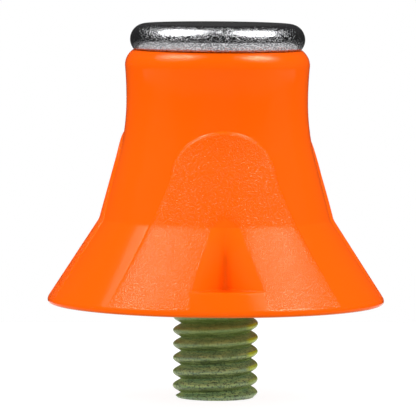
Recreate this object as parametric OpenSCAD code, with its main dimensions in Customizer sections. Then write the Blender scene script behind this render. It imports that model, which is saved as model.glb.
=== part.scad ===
// Screw-in boot stud: a two-cone plastic body with three raised pads and wrench notches,
// a rounded steel wear tip on top and a threaded steel pin below.
// The origin is the centre of the seat that bears on the boot sole, +Z points to the tip
// and -Y passes through the middle of the front pad.

/* [Thread] */
// Major diameter of the pin's thread
thread_d = 4.9; // [4.83:0.01:4.98]
// Pitch of the thread
thread_pitch = 0.8; // [0.75:0.01:0.8]
// Depth of the thread
thread_depth = 0.48; // [0.44:0.01:0.49]
// How far the pin stands out below the seat
pin_out = 5.45; // [5:0.05:8]

/* [Body] */
// Height of the body's upper lip above the seat
lip_z = 14.58; // [14.56:0.01:14.6]
// Diameter of the base
base_d = 19.4; // [19:0.1:20]
// Height at which the lower cone's line meets the base's edge
rim_z = 0.3; // [0.28:0.01:0.4]
// Height of the crease between the lower and the upper cone
crease_z = 4.84; // [4.7:0.02:5]
// Diameter at the crease
crease_d = 13.2; // [13:0.02:13.4]
// Lean of the upper cone from the axis, in degrees
upper_lean = 15; // [14.6:0.1:16]
// Smallest diameter of the neck
waist_d = 10.45; // [10.4:0.01:10.56]
// Height of the neck's smallest diameter
waist_z = 11.66; // [11.5:0.02:11.8]
// Largest diameter of the collar under the tip
collar_d = 10.64; // [10.6:0.02:10.7]
// Height of the collar's largest diameter
collar_z = 13.7; // [13.68:0.01:13.72]

/* [Pads] */
// How far each pad stands out of the body at the crease, from where it fades out towards the base
pad_proud = 0.16; // [0.1:0.01:0.2]
// Height of the pads' rounded tops
pad_top_z = 10.1; // [9.9:0.05:10.3]
// Height of the pads' lower edges
pad_low_z = 0.6; // [0.5:0.02:0.7]
// Distance of the wrench notch's bottom line from the axis
notch_r = 6.74; // [6.6:0.02:7]
// Height of the ledge at the foot of the wrench notch
notch_floor_z = 1.38; // [1.2:0.02:1.5]

/* [Tip] */
// Diameter of the wear tip
tip_d = 10.08; // [10:0.02:10.2]
// Thickness of the wear tip
tip_t = 1.8; // [1.7:0.02:1.84]
// Height of the tip's top face above the seat
tip_top_z = 16.1; // [16:0.02:16.2]

/* [Hidden] */
$fn = 96;

// Outside curves of the body
rim_edge = 0.25;
collar_round = 1.1;
lip_angle = 53;
arc_steps = 8;

// Pads: three, each a half ellipse on top of sides that flare down to the rim
pads = 3;
pad_arch_z = 7.4;
pad_arch_w = 6.12;
pad_bend_z = 5.3;
pad_bend_w = 7.72;
pad_low_w = 13.1;
pad_root_r = 3;
notch_angle = 90;

// Anchor of the pin inside the body: a hexagon against turning, a collar against pull-out
anchor_af = 7.4;
anchor_z = 1.3;
anchor_t = 1.8;
shank_d = 4.1;
shank_top_z = 4.8;
collar_ring_d = 5;
collar_ring_t = 0.8;
shoulder_d = 4.92;
shoulder_len = 0.6;

// Helical ridge of the thread
ridge_steps = 24;
ridge_crest = thread_pitch / 8;
ridge_sink = 0.06;
ridge_start_z = -0.86;
ridge_start_turn = 144;
pin_chamfer = 0.3;
root_r = thread_d / 2 - thread_depth;

// Stem of the wear tip inside the body
stem_d = 3;
stem_end_z = 6.2;
stem_head_d = 4.6;
stem_head_t = 0.9;

overlap = 0.5;
cut_reach = 12;

// The curve that joins the upper cone to the waist
base_r = base_d / 2;
crease_r = crease_d / 2;
waist_r = waist_d / 2;
collar_r = collar_d / 2;
collar_mid_r = collar_r - collar_round;
neck_meet_z = crease_z + (crease_r - waist_r) / tan(upper_lean);
neck_round = (waist_z - neck_meet_z) / tan(upper_lean / 2);

function mix(a, b, t) = a + (b - a) * t;
function arc(cx, cy, r, from, to, n) =
    [for (i = [0:n]) let (a = from + (to - from) * i / n) [cx + r * cos(a), cy + r * sin(a)]];

// Half outline of the outside, from the seat to the lip, pushed outwards by a margin above the crease
// and by less and less below it
function outside(out) =
    let (
        lean = atan((base_r - crease_r - out) / (crease_z - rim_z)),
        rim_round = (rim_z - rim_edge) / tan(lean / 2)
    )
    concat(
        [[0, 0]],
        arc(base_r - rim_edge, rim_edge, rim_edge, -90, 0, 3),
        arc(base_r - rim_round, rim_edge, rim_round, lean / arc_steps, lean, arc_steps),
        [[crease_r + out, crease_z]],
        arc(waist_r + neck_round + out, waist_z, neck_round, 180 + upper_lean, 180, arc_steps),
        [for (i = [1:arc_steps]) let (t = i / arc_steps)
            [mix(waist_r, collar_r, t * t) + out, mix(waist_z, collar_z, t)]],
        arc(collar_mid_r + out, collar_z, collar_round, lip_angle / arc_steps, lip_angle, arc_steps),
        [[collar_mid_r + out, lip_z], [0, lip_z]]
    );

// Front view of one pad
function pad_outline() = concat(
    [[pad_low_w / 2, pad_low_z], [pad_bend_w / 2, pad_bend_z]],
    [for (a = [0:10:180]) [cos(a) * pad_arch_w / 2, pad_arch_z + sin(a) * (pad_top_z - pad_arch_z)]],
    [[-pad_bend_w / 2, pad_bend_z], [-pad_low_w / 2, pad_low_z]]
);

// Extrudes a front view forwards, from a distance in front of the axis
module forwards(from, to) {
    translate([0, -from, 0]) rotate([90, 0, 0]) linear_extrude(height = to - from) children();
}

module pad() {
    intersection() {
        rotate_extrude() polygon(outside(pad_proud));
        forwards(pad_root_r, cut_reach) polygon(pad_outline());
    }
}

// Groove for one claw of the stud wrench: a V that opens outwards and upwards
module wrench_notch() {
    reach = cut_reach - notch_r;
    spread = reach * tan(notch_angle / 2);
    translate([0, 0, notch_floor_z])
        linear_extrude(height = crease_z)
            polygon([[0, -notch_r], [spread, -cut_reach], [-spread, -cut_reach]]);
}

// Everything of the pin above the seat's plane
module pin_anchor() {
    translate([0, 0, -shoulder_len]) cylinder(d = shoulder_d, h = anchor_z + shoulder_len + overlap);
    translate([0, 0, anchor_z]) cylinder(d = anchor_af / cos(30), h = anchor_t, $fn = 6);
    translate([0, 0, anchor_z]) cylinder(d = shank_d, h = shank_top_z - anchor_z);
    translate([0, 0, shank_top_z - collar_ring_t]) cylinder(d = collar_ring_d, h = collar_ring_t);
}

// Right-hand helical ridge, fading in and out at its two ends
module thread_ridge() {
    turns = (pin_out + ridge_start_z - thread_pitch / 4) / thread_pitch;
    n = floor(turns * ridge_steps);
    sections = [for (i = [0:n])
        let (
            fade = min(1, 0.2 + 2 * i / ridge_steps, 0.2 + 2 * (n - i) / ridge_steps),
            crest_r = root_r + thread_depth * fade,
            half = ridge_crest / 2,
            foot = half + (crest_r - root_r + ridge_sink) * tan(30),
            a = ridge_start_turn - 360 * i / ridge_steps,
            z = ridge_start_z - thread_pitch * i / ridge_steps
        )
        for (p = [[root_r - ridge_sink, -foot], [crest_r, -half], [crest_r, half], [root_r - ridge_sink, foot]])
            [p[0] * cos(a), p[0] * sin(a), z + p[1]]];
    sides = [for (i = [0:n - 1], k = [0:3])
        let (b = 4 * i, m = (k + 1) % 4)
        [b + k, b + 4 + k, b + 4 + m, b + m]];
    polyhedron(points = sections, faces = concat([[0, 1, 2, 3]], sides, [[for (k = [3:-1:0]) 4 * n + k]]));
}

module stud_body() {
    color("orangered") difference() {
        union() {
            rotate_extrude() polygon(outside(0));
            for (i = [0:pads - 1]) rotate([0, 0, i * 360 / pads]) pad();
        }
        for (i = [0:pads - 1]) rotate([0, 0, i * 360 / pads]) wrench_notch();
        pin_anchor();
        wear_tip();
    }
}

module wear_tip() {
    edge_r = tip_t / 2;
    middle_z = tip_top_z - edge_r;
    color("silver") {
        rotate_extrude() {
            translate([tip_d / 2 - edge_r, middle_z]) circle(r = edge_r);
            translate([0, middle_z - edge_r]) square([tip_d / 2 - edge_r, tip_t]);
        }
        translate([0, 0, stem_end_z]) cylinder(d = stem_d, h = middle_z - stem_end_z);
        translate([0, 0, stem_end_z]) cylinder(d = stem_head_d, h = stem_head_t);
    }
}

module threaded_pin() {
    color("darkkhaki") {
        pin_anchor();
        translate([0, 0, pin_chamfer - pin_out]) cylinder(r = root_r, h = pin_out - pin_chamfer);
        translate([0, 0, -pin_out]) cylinder(r1 = root_r - pin_chamfer, r2 = root_r, h = pin_chamfer);
        thread_ridge();
    }
}

stud_body();
wear_tip();
threaded_pin();
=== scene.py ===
"""A screw-in boot stud: finished meshes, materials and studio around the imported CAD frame.

Every length below is in millimetres and becomes metres where a mesh is made.
Z is the stud's axis, the sole seat is at Z = 0 and the front pad faces -Y.
"""

from math import asin, atan, cos, hypot, pi, radians, sin, sqrt, tan

import bpy
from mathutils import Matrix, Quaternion, Vector


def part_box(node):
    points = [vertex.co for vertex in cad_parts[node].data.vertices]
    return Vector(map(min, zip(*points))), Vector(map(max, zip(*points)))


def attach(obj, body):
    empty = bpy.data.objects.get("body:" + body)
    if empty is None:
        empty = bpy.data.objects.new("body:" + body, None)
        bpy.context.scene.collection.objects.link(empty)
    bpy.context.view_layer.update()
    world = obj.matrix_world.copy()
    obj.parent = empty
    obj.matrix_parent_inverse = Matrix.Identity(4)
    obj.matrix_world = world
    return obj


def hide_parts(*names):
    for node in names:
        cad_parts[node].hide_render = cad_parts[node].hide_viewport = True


MM = 0.001
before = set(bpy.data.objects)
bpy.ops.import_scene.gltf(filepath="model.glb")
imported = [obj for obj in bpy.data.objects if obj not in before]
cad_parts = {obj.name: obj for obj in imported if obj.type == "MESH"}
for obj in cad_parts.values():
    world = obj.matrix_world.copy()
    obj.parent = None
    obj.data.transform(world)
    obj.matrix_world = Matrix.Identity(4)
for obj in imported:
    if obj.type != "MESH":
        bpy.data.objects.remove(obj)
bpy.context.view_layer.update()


def node_box(node):
    """Lowest and highest corner of a CAD node, in millimetres."""
    low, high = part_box(node)
    return low / MM, high / MM


TIP_LOW, TIP_HIGH = node_box("wear_tip")
PIN_LOW, PIN_HIGH = node_box("threaded_pin")

# Body outside: two cones, led by curves into the base's edge and the waist
BASE_R, RIM_Z, RIM_EDGE = 9.694, 0.3, 0.18
CREASE_R, CREASE_Z, CREASE_SOFT = 6.6, 4.84, 0.05
UPPER_LEAN = radians(15)
WAIST_R, WAIST_Z = 5.225, 11.66
COLLAR_R, COLLAR_Z, COLLAR_ROUND = 5.32, 13.7, 1.1
LIP_ANGLE = radians(53)
LIP_Z = COLLAR_Z + COLLAR_ROUND * sin(LIP_ANGLE)

# Pads, as seen from the front, and their wrench notches
PADS = 3
PAD_PROUD = 0.16
PAD_LOW_Z, PAD_LOW_HALF = 0.42, 6.55
PAD_BEND_Z, PAD_BEND_HALF, PAD_BEND_ROUND = 5.3, 3.86, 0.5
PAD_ARCH_Z, PAD_ARCH_HALF = 7.4, 3.06
PAD_TOP_Z = 10.1
PAD_EDGE, PAD_LOW_EDGE = 0.18, 0.3
NOTCH_FLOOR_Z = 1.38
NOTCH_LOW_R, NOTCH_TOP_R = 6.74, 6.55
NOTCH_LOW_HALF, NOTCH_TOP_HALF = 2.1, 0.95
NOTCH_ROUND, NOTCH_LIP = 0.2, 0.14
NOTCH_END_Z = 6.5
LEDGE_EDGE = 0.04
NO_WALL = 1e3

# The notch's bottom line, where the nylon gets a painted shade (a deeper tone): half width at its foot and
# higher up
LINE_LOW_HALF, LINE_TOP_HALF = 0.42, 0.2
LINE_TAPER = 2.2
LINE_FADE_Z, LINE_FADE = 2.9, 1.2
LINE_EDGE, DEEP_ENOUGH = 0.3, 0.12

# Tip
TIP_R, TIP_TOP_Z = TIP_HIGH.x, TIP_HIGH.z
TIP_T, TIP_SPARE = 1.8, 0.004
TIP_INNER_R = 0.4
STEM_R, STEM_HEAD_R, STEM_HEAD_T = 1.5, 2.3, 0.9
STEM_END_Z = TIP_LOW.z

# Pin
PIN_END_Z = PIN_LOW.z
THREAD_R, THREAD_ROOT_R, THREAD_PITCH = 2.45, 1.98, 0.8
THREAD_FLANK, THREAD_NOSE = radians(30), 0.22
THREAD_PHASE_Z = -1.17
CREST_BAND = 0.16
PIN_CHAMFER, CHAMFER_EDGE = 0.3, 0.05
CHAMFER_START_R = THREAD_R - 0.26
SHOULDER_R, SHOULDER_LEN = 2.46, 0.6
SHOULDER_CHAMFER, SEAT_MARGIN = 0.06, 0.5
THREAD_OVERLAP, RUNOUT = 0.4, 0.5
ANCHOR_APOTHEM, ANCHOR_Z, ANCHOR_T = 3.7, 1.3, 1.8
SHANK_R, SHANK_TOP_Z = 2.05, PIN_HIGH.z
RING_R, RING_T = 2.5, 0.8

# Studio
FLOOR_HALF, FLOOR_BACK, FLOOR_GAP = 150, 45, 0.01
BACKDROP, STUDIO_DARK = 1.0, 0.03
LIGHT_FROM_BELOW, LIGHT_FROM_ABOVE, HORIZON = 0.42, 1.26, 0.2
LAMP_DISTANCE = 220
SOFTBOX_LAYERS = [("edge", 1.0, 4.5), ("ring", 0.75, 20.0), ("middle", 0.55, 75.0)]


# ---------------------------------------------------------------- small maths
def clamp(v, low=0.0, high=1.0):
    return max(low, min(high, v))


def smooth(t):
    """0 to 1 with level ends as t goes from 0 to 1."""
    t = clamp(t)
    return t * t * (3 - 2 * t)


def mix(a, b, t):
    return a + (b - a) * t


def soft_min(a, b, k):
    """The smaller of a and b, with a rounded corner about k wide where they cross."""
    h = clamp(0.5 + (b - a) / (2 * k))
    return mix(b, a, h) - k * h * (1 - h)


def spread(start, end, count):
    """count values from start towards end, without end itself."""
    return [mix(start, end, i / count) for i in range(count)]


def stretches(stops):
    """Values through stops of (start, count): each stretch is divided evenly and the last end is left out."""
    values = []
    for (start, count), (end, _) in zip(stops, stops[1:]):
        values += spread(start, end, count)
    return values


def arc(cx, cz, r, start, end, count):
    """Points (radius, height) along an arc, angles from the outward direction."""
    return [(cx + r * cos(a), cz + r * sin(a)) for a in spread(start, end, count)]


# ---------------------------------------------------------------- mesh helpers
def make_mesh(name, verts, faces, sharp=35):
    mesh = bpy.data.meshes.new(name)
    mesh.from_pydata([Vector(v) * MM for v in verts], [], faces)
    mesh.validate()
    mesh.shade_smooth()
    mesh.set_sharp_from_angle(angle=radians(sharp))
    piece = bpy.data.objects.new(name, mesh)
    bpy.context.scene.collection.objects.link(piece)
    return piece


def rings_to_mesh(name, rings, sharp=35):
    """Closed solid from rings of equal length; the first and last ring are closed by a centre point."""
    n = len(rings[0])
    verts = [p for ring in rings for p in ring]
    faces = []
    for j in range(len(rings) - 1):
        for i in range(n):
            k = (i + 1) % n
            faces.append((j * n + i, j * n + k, (j + 1) * n + k, (j + 1) * n + i))
    last = (len(rings) - 1) * n
    first_centre, last_centre = len(verts), len(verts) + 1
    verts += [(0, 0, rings[0][0][2]), (0, 0, rings[-1][0][2])]
    faces += [(first_centre, (i + 1) % n, i) for i in range(n)]
    faces += [(last_centre, last + i, last + (i + 1) % n) for i in range(n)]
    return make_mesh(name, verts, faces, sharp)


def add_value(piece, name, values):
    """Stores one number per vertex for the material to read."""
    layer = piece.data.attributes.new(name, "FLOAT", "POINT")
    layer.data.foreach_set("value", values)


# ---------------------------------------------------------------- the body
NECK_MEET_Z = CREASE_Z + (CREASE_R - WAIST_R) / tan(UPPER_LEAN)
NECK_ROUND = (WAIST_Z - NECK_MEET_Z) / tan(UPPER_LEAN / 2)
NECK_LOW_Z = WAIST_Z - NECK_ROUND * sin(UPPER_LEAN)


def outside_radius(z, out=0.0):
    """Radius of the body at a height, or of the pads where out is how proud they stand at the crease."""
    if z < RIM_EDGE:
        return BASE_R - RIM_EDGE + sqrt(max(RIM_EDGE**2 - (RIM_EDGE - z) ** 2, 0))
    lean = atan((BASE_R - CREASE_R - out) / (CREASE_Z - RIM_Z))
    rim_round = (RIM_Z - RIM_EDGE) / tan(lean / 2)
    if z < RIM_EDGE + rim_round * sin(lean):
        return BASE_R - rim_round + sqrt(rim_round**2 - (z - RIM_EDGE) ** 2)
    if z < NECK_LOW_Z:
        lower = (CREASE_Z - z) * tan(lean)
        upper = (CREASE_Z - z) * tan(UPPER_LEAN)
        return CREASE_R + out - soft_min(-lower, -upper, CREASE_SOFT)
    if z < WAIST_Z:
        return WAIST_R + out + NECK_ROUND - sqrt(NECK_ROUND**2 - (WAIST_Z - z) ** 2)
    if z < COLLAR_Z:
        return mix(WAIST_R, COLLAR_R, ((z - WAIST_Z) / (COLLAR_Z - WAIST_Z)) ** 2) + out
    return COLLAR_R - COLLAR_ROUND + out + sqrt(COLLAR_ROUND**2 - (z - COLLAR_Z) ** 2)


UPPER_FLARE = (PAD_BEND_HALF - PAD_ARCH_HALF) / (PAD_ARCH_Z - PAD_BEND_Z)
LOWER_FLARE = (PAD_LOW_HALF - PAD_BEND_HALF) / (PAD_BEND_Z - PAD_LOW_Z)


def pad_half(z):
    """Half width of a pad's front view at a height: an arch on two flaring sides."""
    if z >= PAD_ARCH_Z:
        t = clamp((z - PAD_ARCH_Z) / (PAD_TOP_Z - PAD_ARCH_Z))
        return PAD_ARCH_HALF * sqrt(1 - t * t)
    upper = PAD_ARCH_HALF + UPPER_FLARE * (PAD_ARCH_Z - z)
    lower = PAD_BEND_HALF + LOWER_FLARE * (PAD_BEND_Z - z)
    return -soft_min(-upper, -lower, PAD_BEND_ROUND)


def pad_share(x, z):
    """1 on a pad, 0 off it, changing smoothly over its edge."""
    if z > PAD_ARCH_Z:
        height = PAD_TOP_Z - PAD_ARCH_Z
        u, v = x / PAD_ARCH_HALF, (z - PAD_ARCH_Z) / height
        steep = 2 * hypot(u / PAD_ARCH_HALF, v / height)
        inside = (1 - u * u - v * v) / max(steep, 1e-6)
    else:
        inside = (pad_half(z) - abs(x)) / hypot(1, LOWER_FLARE)
    low = smooth((z - PAD_LOW_Z) / PAD_LOW_EDGE + 0.5)
    return smooth(inside / PAD_EDGE + 0.5) * low


def notch_section(z):
    """Distance from the axis to the notch's bottom line at a height, and half the width between its lips."""
    t = clamp((z - NOTCH_FLOOR_Z) / (CREASE_Z - NOTCH_FLOOR_Z))
    return mix(NOTCH_LOW_R, NOTCH_TOP_R, t), mix(NOTCH_LOW_HALF, NOTCH_TOP_HALF, t)


def notch_wall(a, z):
    """Radius of the notch's V wall at an angle from the pad's middle and a height."""
    root, half = notch_section(z)
    face = outside_radius(min(z, CREASE_Z), PAD_PROUD)
    steepness = (sqrt(face**2 - half**2) - root) / half
    across = sqrt(sin(a) ** 2 + (NOTCH_ROUND / root) ** 2)
    toward = cos(a) - across * steepness
    return root / toward if toward > 0.1 else NO_WALL


# Columns in half a sector, from the pad's middle to the middle of the gap between pads
NOTCH_CORE, NOTCH_FACE, NOTCH_RIM, PAD_FACE, PAD_SIDE, GAP = 4, 8, 5, 13, 7, 9
# Half widths of the bands where those columns crowd
LINE_BAND, LIP_BAND, SIDE_BAND = 0.12, 0.1, 0.12
# Least half widths that the columns close up to above the notch and the pad, and the widest pad's sine
LEAST_NOTCH, LEAST_PAD, WIDEST_PAD = 0.35, 1.3, 0.9
NOTCH_CLOSE = 2


def half_sector_angles(z):
    """Angles of the columns in half a sector at a height, crowded where the form turns."""
    r = outside_radius(z)
    notch = asin(notch_section(z)[1] / r) * (1 - smooth((z - CREASE_Z) / NOTCH_CLOSE))
    lip = max(notch, LEAST_NOTCH / r)
    side = asin(min(max(pad_half(z), LEAST_PAD) / r, WIDEST_PAD))
    stops = [
        (0.0, NOTCH_CORE),
        (LINE_BAND / r, NOTCH_FACE),
        (lip - LIP_BAND / r, NOTCH_RIM),
        (lip + LIP_BAND / r, PAD_FACE),
        (side - SIDE_BAND / r, PAD_SIDE),
        (side + SIDE_BAND / r, GAP),
        (pi / PADS, 0),
    ]
    return stretches(stops) + [pi / PADS]


def column_angles(z):
    """Angles from the front pad's middle for one ring, each with its offset from its own pad's middle."""
    half = half_sector_angles(z)
    sector = [-a for a in reversed(half[1:-1])] + half
    ring = []
    for pad in range(PADS):
        ring += [(pad * 2 * pi / PADS + a, a) for a in sector]
    return ring


# Rows of the outside: how many in each stretch, and the heights where they crowd
EDGE_ROWS, LEDGE_ROWS, LIP_ROWS = 5, 14, 16
CREASE_BAND, ARCH_ROWS_Z, ARCH_MARGIN = 0.12, 8.6, 0.14


def body_rows():
    """Rows of the outside as (height, share of the notch's depth)."""
    edge = [RIM_EDGE * (1 - cos(t)) for t in spread(0, pi / 2, EDGE_ROWS)]
    below = [
        (RIM_EDGE, 8),
        (PAD_LOW_Z - PAD_LOW_EDGE / 2, 9),
        (PAD_LOW_Z + PAD_LOW_EDGE / 2, 6),
        (NOTCH_FLOOR_Z - LEDGE_EDGE, 0),
    ]
    rows = [(z, 0.0) for z in edge + stretches(below)]
    for i in range(LEDGE_ROWS + 1):
        t = i / LEDGE_ROWS
        rows.append((NOTCH_FLOOR_Z + LEDGE_EDGE * (2 * t - 1) ** 3, smooth(t)))
    above = [
        (NOTCH_FLOOR_Z + 1.5 * LEDGE_EDGE, 40),
        (CREASE_Z - CREASE_BAND, 10),
        (CREASE_Z + CREASE_BAND, 34),
        (ARCH_ROWS_Z, 42),
        (PAD_TOP_Z + ARCH_MARGIN, 30),
        (COLLAR_Z, 0),
    ]
    lip = [COLLAR_Z + COLLAR_ROUND * sin(t) for t in spread(0, LIP_ANGLE, LIP_ROWS)]
    return rows + [(z, 1.0) for z in stretches(above) + lip]


def beside_notch(a, z):
    """0 on the rim right under the notch, which is left smooth, and 1 elsewhere."""
    if z > NOTCH_FLOOR_Z + LEDGE_EDGE:
        return 1.0
    half = asin(NOTCH_LOW_HALF / outside_radius(NOTCH_FLOOR_Z, PAD_PROUD))
    return smooth((abs(a) - half) * BASE_R / LINE_EDGE + 0.5)


def notch_painted_tone(x, depth, z):
    """1 (painted light) on the notch's flanks, 0 outside the notch and -1 (painted shade) along its bottom
    line.
    """
    line_half = mix(LINE_LOW_HALF, LINE_TOP_HALF, smooth((z - NOTCH_FLOOR_Z) / LINE_TAPER))
    flank = smooth((abs(x) - line_half) / LINE_EDGE + 0.5)
    line_share = 1 - smooth((z - LINE_FADE_Z) / LINE_FADE)
    return smooth(depth / DEEP_ENOUGH) * mix(1.0, 2 * flank - 1, line_share)


def outside_ring(z, notch_share):
    """One ring of the outside: its points, how much each is on a pad, and the painted light and shade on the
    nylon there.

    The painted tone is -1 (painted shade) along a notch's bottom line, 1 (painted light) on its flanks and 2
    (painted light) at the base's lower edge.
    """
    points, shares, painted_tones = [], [], []
    base, proud = outside_radius(z), outside_radius(z, PAD_PROUD)
    for around, a in column_angles(z):
        share = pad_share(proud * sin(a), z)
        # Painted light: the nylon is painted paler at the base's lower edge.
        painted_tone = 2 * (1 - smooth(z / RIM_EDGE))
        r = mix(base, proud, share)
        if notch_share > 0 and z < NOTCH_END_Z:
            wall = notch_wall(a, z)
            share *= 1 - smooth((r - wall) / LIP_BAND)
            # In the notch: painted light on the flanks and painted shade along the bottom line.
            painted_tone = notch_painted_tone(r * sin(a), r - wall, z) * notch_share
            r = mix(r, min(r, soft_min(r, wall, NOTCH_LIP)), notch_share)
        points.append((r * sin(around), -r * cos(around), z))
        shares.append(share * beside_notch(a, z))
        painted_tones.append(painted_tone)
    return points, shares, painted_tones


def plain_ring(r, z, columns):
    """A round ring on the same columns as the rings next to it."""
    return [(r * sin(around), -r * cos(around), z) for around, _ in columns]


def hexagon_ring(apothem, z, columns):
    """A six-sided ring with two flats square to Y."""
    points = []
    for around, _ in columns:
        turn = (around + pi / 6) % (pi / 3) - pi / 6
        r = apothem / cos(turn)
        points.append((r * sin(around), -r * cos(around), z))
    return points


def dish_profile():
    """Underside of the tip's rim, followed inwards from the lip to the stem."""
    edge_r = TIP_T / 2
    middle_r, middle_z = TIP_R - edge_r, TIP_TOP_Z - edge_r
    start = asin((LIP_Z - middle_z) / edge_r)
    points = [(middle_r + edge_r * cos(t), middle_z + edge_r * sin(t)) for t in spread(start, -pi / 2, 10)]
    points += [(r, middle_z - edge_r) for r in spread(middle_r, STEM_R, 4)]
    return points


def body_mesh():
    """The moulded body: up the pin's pocket, out over the seat, up the outside and down the tip's pocket."""
    low_columns = column_angles(RIM_Z)
    top_columns = column_angles(LIP_Z)
    rings, shares, painted_tones = [], [], []

    def add(ring, share=None, painted_tone=None):
        rings.append(ring)
        shares.extend(share or [0.0] * len(ring))
        painted_tones.extend(painted_tone or [0.0] * len(ring))

    for r, z in [
        (RING_R, SHANK_TOP_Z),
        (RING_R, SHANK_TOP_Z - RING_T),
        (SHANK_R, SHANK_TOP_Z - RING_T),
        (SHANK_R, ANCHOR_Z + ANCHOR_T),
    ]:
        add(plain_ring(r, z, low_columns))
    for z in (ANCHOR_Z + ANCHOR_T, ANCHOR_Z):
        add(hexagon_ring(ANCHOR_APOTHEM, z, low_columns))
    for r, z in [
        (SHOULDER_R, ANCHOR_Z),
        (SHOULDER_R, SHOULDER_CHAMFER),
        (SHOULDER_R + SHOULDER_CHAMFER, 0),
    ]:
        add(plain_ring(r, z, low_columns))
    for r in spread(SHOULDER_R + SEAT_MARGIN, BASE_R - RIM_EDGE, 14):
        add(plain_ring(r, 0, low_columns))
    for z, notch_share in body_rows():
        add(*outside_ring(z, notch_share))
    add(plain_ring(COLLAR_R - COLLAR_ROUND + COLLAR_ROUND * cos(LIP_ANGLE), LIP_Z, top_columns))
    for r, z in dish_profile():
        add(plain_ring(r, z, top_columns))
    for r, z in [
        (STEM_R, TIP_TOP_Z - TIP_T),
        (STEM_R, STEM_END_Z + STEM_HEAD_T),
        (STEM_HEAD_R, STEM_END_Z + STEM_HEAD_T),
        (STEM_HEAD_R, STEM_END_Z),
    ]:
        add(plain_ring(r, z, top_columns))
    piece = rings_to_mesh("moulded_body", rings)
    centres = [0.0, 0.0]
    add_value(piece, "pad", shares + centres)
    add_value(piece, "painted_tone", painted_tones + centres)
    return piece


# ---------------------------------------------------------------- the tip
TIP_COLUMNS = 192


def tip_mesh():
    """The wear tip: a disc with a fully round edge, on a stem with a head."""
    edge_r = TIP_T / 2
    middle_r, middle_z = TIP_R - TIP_SPARE - edge_r, TIP_TOP_Z - edge_r
    profile = [(r, TIP_TOP_Z) for r in spread(TIP_INNER_R, middle_r, 18)]
    profile += arc(middle_r, middle_z, edge_r, pi / 2, -pi / 2, 44)
    profile += [(r, middle_z - edge_r) for r in spread(middle_r, STEM_R, 6)]
    profile += [
        (STEM_R, middle_z - edge_r),
        (STEM_R, STEM_END_Z + STEM_HEAD_T),
        (STEM_HEAD_R, STEM_END_Z + STEM_HEAD_T),
        (STEM_HEAD_R, STEM_END_Z),
    ]
    columns = [(around, 0) for around in spread(0, 2 * pi, TIP_COLUMNS)]
    rings = [plain_ring(r, z, columns) for r, z in reversed(profile)]
    return rings_to_mesh("bright_tip", rings)


# ---------------------------------------------------------------- the pin
def thread_radius(z, around):
    """Radius of the threaded pin at a height and angle, and 1 where the face looks up, -1 where down."""
    phase = (z - THREAD_PHASE_Z + THREAD_PITCH * around / (2 * pi)) / THREAD_PITCH
    off = (phase - round(phase)) * THREAD_PITCH
    flank = THREAD_ROOT_R + (THREAD_PITCH / 2 - abs(off)) / tan(THREAD_FLANK)
    facing = smooth(off / CREST_BAND) - smooth(-off / CREST_BAND)
    return soft_min(flank, THREAD_R, THREAD_NOSE), facing


PIN_COLUMNS, THREAD_ROWS = 180, 300


def pin_mesh():
    """The pin: thread and shoulder below the seat, hexagon, shank and collar inside the body."""
    columns = [(around, 0) for around in spread(0, 2 * pi, PIN_COLUMNS)]
    rings = [plain_ring(r, PIN_END_Z, columns) for r in (0.5, 1.2, THREAD_ROOT_R - PIN_CHAMFER)]
    facing = [0.0] * PIN_COLUMNS * len(rings)
    top = THREAD_OVERLAP - SHOULDER_LEN
    for j in range(THREAD_ROWS + 1):
        z = mix(PIN_END_Z, top, j / THREAD_ROWS)
        chamfer = CHAMFER_START_R + z - PIN_END_Z
        runout = smooth((z - top) / RUNOUT + 1)
        ring = []
        for around, _ in columns:
            r, face = thread_radius(z, pi / 2 - around)
            r = mix(soft_min(r, chamfer, CHAMFER_EDGE), SHOULDER_R, runout)
            ring.append((r * sin(around), -r * cos(around), z))
            facing.append(face)
        rings.append(ring)
    rings.append(plain_ring(SHOULDER_R, 0, columns))
    rings.append(plain_ring(SHOULDER_R, ANCHOR_Z, columns))
    for z in (ANCHOR_Z, ANCHOR_Z + ANCHOR_T):
        rings.append(hexagon_ring(ANCHOR_APOTHEM, z, columns))
    for r, z in [
        (SHANK_R, ANCHOR_Z + ANCHOR_T),
        (SHANK_R, SHANK_TOP_Z - RING_T),
        (RING_R, SHANK_TOP_Z - RING_T),
        (RING_R, SHANK_TOP_Z),
    ]:
        rings.append(plain_ring(r, z, columns))
    piece = rings_to_mesh("plated_pin", rings, sharp=50)
    plain = len(piece.data.vertices) - len(facing)
    # Which way each face looks; the zinc uses it for painted light on upward faces and painted shade on
    # downward faces.
    add_value(piece, "facing", facing + [0.0] * plain)
    return piece


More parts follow.
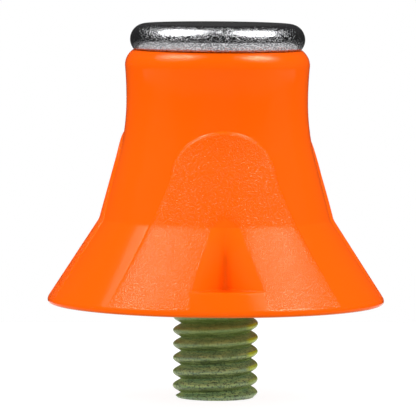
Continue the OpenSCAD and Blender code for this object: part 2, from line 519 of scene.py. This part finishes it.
# ---------------------------------------------------------------- materials
class Nodes:
    """Short way to write a material's node tree. Noise scales are in features per metre."""

    def __init__(self, name):
        self.material = bpy.data.materials.new(name)
        self.material.use_nodes = True
        self.tree = self.material.node_tree
        self.shader = self.tree.nodes["Principled BSDF"]

    def add(self, kind, values=None, **settings):
        node = self.tree.nodes.new(kind)
        for key, value in settings.items():
            setattr(node, key, value)
        for key, value in (values or {}).items():
            if isinstance(value, bpy.types.NodeSocket):
                self.tree.links.new(value, node.inputs[key])
            else:
                node.inputs[key].default_value = value
        return node

    def place(self):
        return self.add("ShaderNodeTexCoord").outputs["Object"]

    def noise(self, scale, detail=2.0, rough=0.5, at=None):
        values = {"Vector": at or self.place(), "Scale": scale, "Detail": detail, "Roughness": rough}
        return self.add("ShaderNodeTexNoise", values).outputs["Fac"]

    def ramp(self, value, low, high, to_low=0.0, to_high=1.0):
        values = {"Value": value, 1: low, 2: high, 3: to_low, 4: to_high}
        return self.add("ShaderNodeMapRange", values).outputs["Result"]

    def math(self, operation, a, b=0.0):
        return self.add("ShaderNodeMath", {0: a, 1: b}, operation=operation).outputs[0]

    def blend(self, share, a, b):
        values = {"Factor": share, 6: a, 7: b}
        return self.add("ShaderNodeMix", values, data_type="RGBA").outputs[2]

    def attribute(self, name):
        return self.add("ShaderNodeAttribute", attribute_name=name).outputs["Fac"]

    def bump(self, height, depth, strength=1.0, normal=None):
        values = {"Height": height, "Strength": strength, "Distance": depth * MM}
        if normal:
            values["Normal"] = normal
        return self.add("ShaderNodeBump", values).outputs["Normal"]

    def set(self, **values):
        for key, value in values.items():
            socket = self.shader.inputs[key.replace("_", " ")]
            if isinstance(value, bpy.types.NodeSocket):
                self.tree.links.new(value, socket)
            else:
                socket.default_value = value


def nylon():
    """Orange nylon, grained on the pads and smooth elsewhere, with painted light (a paler tone) on the
    notches' flanks and at the base's lower edge, and painted shade (a deeper tone) along the notches' bottom
    lines.
    """
    m = Nodes("orange_nylon")
    pad = m.attribute("pad")
    grain = m.ramp(m.noise(13000, 0, 0.5), 0.36, 0.64)
    patch = m.noise(180, 3, 0.55)
    scuff = m.noise(900, 4, 0.6)
    rough = m.math("MULTIPLY", pad, m.ramp(grain, 0.2, 0.7, 0.26, 0.0))
    tone = m.blend(patch, (0.9, 0.101, 0.0008, 1), (0.92, 0.107, 0.0012, 1))
    # Painted light and shade, read from the body's vertices.
    painted_tone = m.attribute("painted_tone")
    # Painted shade: a deeper tone along the notch's bottom line.
    line_painted_shade = m.blend(m.ramp(painted_tone, 0, -1), tone, (0.8, 0.085, 0.001, 1))
    # Painted light: a paler tone on the notch's flanks.
    flank = m.blend(painted_tone, line_painted_shade, (0.92, 0.12, 0.002, 1))
    m.set(
        # Painted light: a paler tone at the base's lower edge.
        Base_Color=m.blend(m.ramp(painted_tone, 1, 2), flank, (1.0, 0.2, 0.02, 1)),
        Roughness=m.math("ADD", rough, m.ramp(scuff, 0.5, 0.8, 0.12, 0.17)),
        Normal=m.bump(m.math("MULTIPLY", grain, pad), 0.016, 1.0, m.bump(patch, 0.02, 0.15)),
        Specular_IOR_Level=m.ramp(pad, 0, 1, 0.085, 0.055),
        Specular_Tint=(1, 1, 0.6, 1),
    )
    return m.material


def chrome():
    """Bright plate with fine pits and a slight swirl."""
    m = Nodes("bright_plate")
    pits = m.ramp(m.noise(14000, 0, 0.5), 0.4, 0.6)
    swirl = m.noise(5000, 0, 0.5)
    m.set(
        Base_Color=m.blend(pits, (0.24, 0.24, 0.25, 1), (0.5, 0.5, 0.51, 1)),
        Roughness=m.ramp(pits, 0, 1, 0.17, 0.07),
        Normal=m.bump(pits, 0.008, 1.0, m.bump(swirl, 0.012, 0.3)),
        Metallic=1.0,
    )
    return m.material


def zinc():
    """Olive passivate: streaked around and fouled towards the end, with painted light on upward faces and
    painted shade on downward faces, a painted yellow bounce at the top, painted yellow glints on one side's
    crests and a painted sheen at grazing angles.
    """
    m = Nodes("olive_zinc")
    cloud = m.noise(420, 4, 0.6)
    along = m.add("ShaderNodeMapping", {"Vector": m.place(), "Scale": (1, 1, 9)}).outputs[0]
    streak = m.noise(1000, 3, 0.7, at=along)
    speck = m.ramp(m.noise(9000, 0, 0.5), 0.3, 0.5)
    facing = m.attribute("facing")
    place = m.add("ShaderNodeSeparateXYZ", {0: m.place()})
    side, height = place.outputs["X"], place.outputs["Z"]

    olive = m.blend(m.ramp(cloud, 0.4, 0.6), (0.18, 0.29, 0.06, 1), (0.15, 0.23, 0.14, 1))
    # Painted light and shade by which way the thread faces: a bluish lit tone on upward faces, a dark shaded
    # tone on downward faces.
    painted_up_light = m.blend(m.ramp(facing, 0, 1), olive, (0.14, 0.235, 0.1, 1))
    under = m.blend(m.ramp(facing, 0, -1), painted_up_light, (0.1, 0.14, 0.035, 1))
    streaky = m.blend(m.ramp(streak, 0.46, 0.6, 0, 0.75), under, (0.34, 0.42, 0.15, 1))
    foul = m.ramp(height, -1.8 * MM, -4.8 * MM, 0.45, 0.9)
    grime = m.math("MULTIPLY", m.ramp(speck, 0, 1, 1, 0), foul)
    dusted = m.blend(grime, streaky, (0.04, 0.055, 0.03, 1))
    # Painted light: orange light bounced from the body, painted as a yellower tone at the top of the thread.
    top = m.ramp(height, -3.0 * MM, -0.6 * MM, 0, 0.5)
    top_painted_bounce = m.blend(top, dusted, (0.21, 0.34, 0.05, 1))
    # Painted glints: yellow-green on the crests on the +X side of the thread.
    crest = m.ramp(m.math("ABSOLUTE", facing), 1.0, 0.85)
    crest_side = m.math("MULTIPLY", crest, m.ramp(side, 1.6 * MM, 1.9 * MM))
    glint_mask = m.math("MULTIPLY", crest_side, m.ramp(height, -5.0 * MM, -3.0 * MM))
    painted_glint = m.blend(glint_mask, top_painted_bounce, (0.4, 0.5, 0.0, 1))
    # Painted sheen: a yellower tone where the surface is seen at a grazing angle.
    edge = m.add("ShaderNodeLayerWeight", {"Blend": 0.5}).outputs["Facing"]
    m.set(
        Base_Color=m.blend(m.ramp(edge, 0.6, 0.9, 0, 0.4), painted_glint, (0.27, 0.38, 0.02, 1)),
        Roughness=m.ramp(speck, 0, 1, 0.52, 0.34),
        Normal=m.bump(speck, 0.01, 0.6, m.bump(streak, 0.03, 0.6)),
        Metallic=0.1,
    )
    return m.material


def floor_material():
    """A back-lit acrylic sheet, so that the stud hardly darkens it."""
    m = Nodes("light_table")
    mottle = m.noise(40, 2, 0.5)
    m.set(
        Base_Color=m.blend(mottle, (0.17, 0.17, 0.17, 1), (0.19, 0.19, 0.19, 1)),
        Roughness=m.ramp(mottle, 0, 1, 0.85, 0.95),
        Emission_Color=(1, 1, 1, 1),
        Emission_Strength=0.88,
        Specular_IOR_Level=0.1,
    )
    return m.material


# ---------------------------------------------------------------- studio
def make_floor():
    """A sheet just under the pin that ends a little way behind the stud, as the tip mirrors it."""
    half, back = FLOOR_HALF, FLOOR_BACK
    z = PIN_END_Z - FLOOR_GAP
    corners = [(-half, -half, z), (half, -half, z), (half, back, z), (-half, back, z)]
    piece = make_mesh("floor", corners, [(0, 1, 2, 3)])
    piece.data.materials.append(floor_material())
    piece.visible_diffuse = False


def make_world():
    """White behind the stud, fill light mostly from above, and a dark studio as seen in gloss."""
    world = bpy.data.worlds.new("studio")
    world.use_nodes = True
    nodes, links = world.node_tree.nodes, world.node_tree.links
    path = nodes.new("ShaderNodeLightPath")
    split = nodes.new("ShaderNodeSeparateXYZ")
    links.new(nodes.new("ShaderNodeTexCoord").outputs["Generated"], split.inputs[0])
    fill = nodes.new("ShaderNodeMapRange")
    for socket, value in zip((1, 2, 3, 4), (-HORIZON, HORIZON, LIGHT_FROM_BELOW, LIGHT_FROM_ABOVE)):
        fill.inputs[socket].default_value = value
    links.new(split.outputs["Z"], fill.inputs["Value"])
    strength = fill.outputs[0]
    for seen_by, value in (("Is Camera Ray", BACKDROP), ("Is Glossy Ray", STUDIO_DARK)):
        pick = nodes.new("ShaderNodeMix")
        links.new(path.outputs[seen_by], pick.inputs[0])
        links.new(strength, pick.inputs[2])
        pick.inputs[3].default_value = value
        strength = pick.outputs[0]
    background = nodes["Background"]
    background.inputs["Color"].default_value = (1, 1, 1, 1)
    links.new(strength, background.inputs["Strength"])
    bpy.context.scene.world = world


def make_lamp(name, azimuth, elevation, across, radiance, gloss):
    """A round soft lamp aimed at the stud, seen either only in gloss or only as diffuse light.

    Azimuth 0 is the front and 90 is +X. A disk's power is its radiance times pi times its area.
    """
    a, e = radians(azimuth), radians(elevation)
    away = Vector((sin(a) * cos(e), -cos(a) * cos(e), sin(e)))
    lamp = bpy.data.lights.new(name, "AREA")
    lamp.shape = "DISK"
    lamp.size = across * MM
    lamp.energy = radiance * pi * (pi / 4 * lamp.size**2)
    piece = bpy.data.objects.new(name, lamp)
    piece.location = (away * LAMP_DISTANCE + Vector((0, 0, LIP_Z / 2))) * MM
    piece.rotation_mode = "QUATERNION"
    piece.rotation_quaternion = away.to_track_quat("Z", "Y")
    piece.visible_diffuse = not gloss
    piece.visible_glossy = gloss
    bpy.context.scene.collection.objects.link(piece)


def make_softbox(name, azimuth, elevation, across):
    """A softbox that fades from a hot middle to a dim edge, seen only in gloss."""
    for part, share, radiance in SOFTBOX_LAYERS:
        make_lamp(f"{name}_{part}", azimuth, elevation, across * share, radiance, gloss=True)


def make_camera():
    """A long lens, a little above the rim and a little to the left of the front pad."""
    azimuth, distance, height = radians(-4.3), 283.0, 25.5
    aim = Vector((-0.486, 0, 5.48))
    roll = radians(0.41)
    frame_width = 23.9
    camera = bpy.data.cameras.new("camera")
    camera.sensor_width = 36
    camera.lens = camera.sensor_width * distance / frame_width
    camera.clip_start, camera.clip_end = 10 * MM, 5000 * MM
    piece = bpy.data.objects.new("camera", camera)
    place = Vector((sin(azimuth) * distance, -cos(azimuth) * distance, height))
    piece.location = place * MM
    piece.rotation_mode = "QUATERNION"
    piece.rotation_quaternion = (aim - place).to_track_quat("-Z", "Y") @ Quaternion((0, 0, 1), roll)
    bpy.context.scene.collection.objects.link(piece)
    bpy.context.scene.camera = piece


# ---------------------------------------------------------------- assembly
def finish_piece(piece, node, material):
    piece.data.materials.append(material)
    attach(piece, "root")
    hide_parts(node)


finish_piece(body_mesh(), "stud_body", nylon())
finish_piece(tip_mesh(), "wear_tip", chrome())
finish_piece(pin_mesh(), "threaded_pin", zinc())
make_floor()
make_world()
make_softbox("softbox_left", azimuth=-82, elevation=57, across=205)
make_softbox("softbox_right", azimuth=71, elevation=53, across=188)
make_lamp("front_fill", azimuth=-4, elevation=8, across=200, radiance=0.95, gloss=False)
make_lamp("side_fill_left", azimuth=-80, elevation=15, across=200, radiance=2.0, gloss=False)
make_lamp("side_fill_right", azimuth=80, elevation=15, across=200, radiance=2.0, gloss=False)
make_camera()
bpy.context.scene.view_settings.view_transform = "Standard"
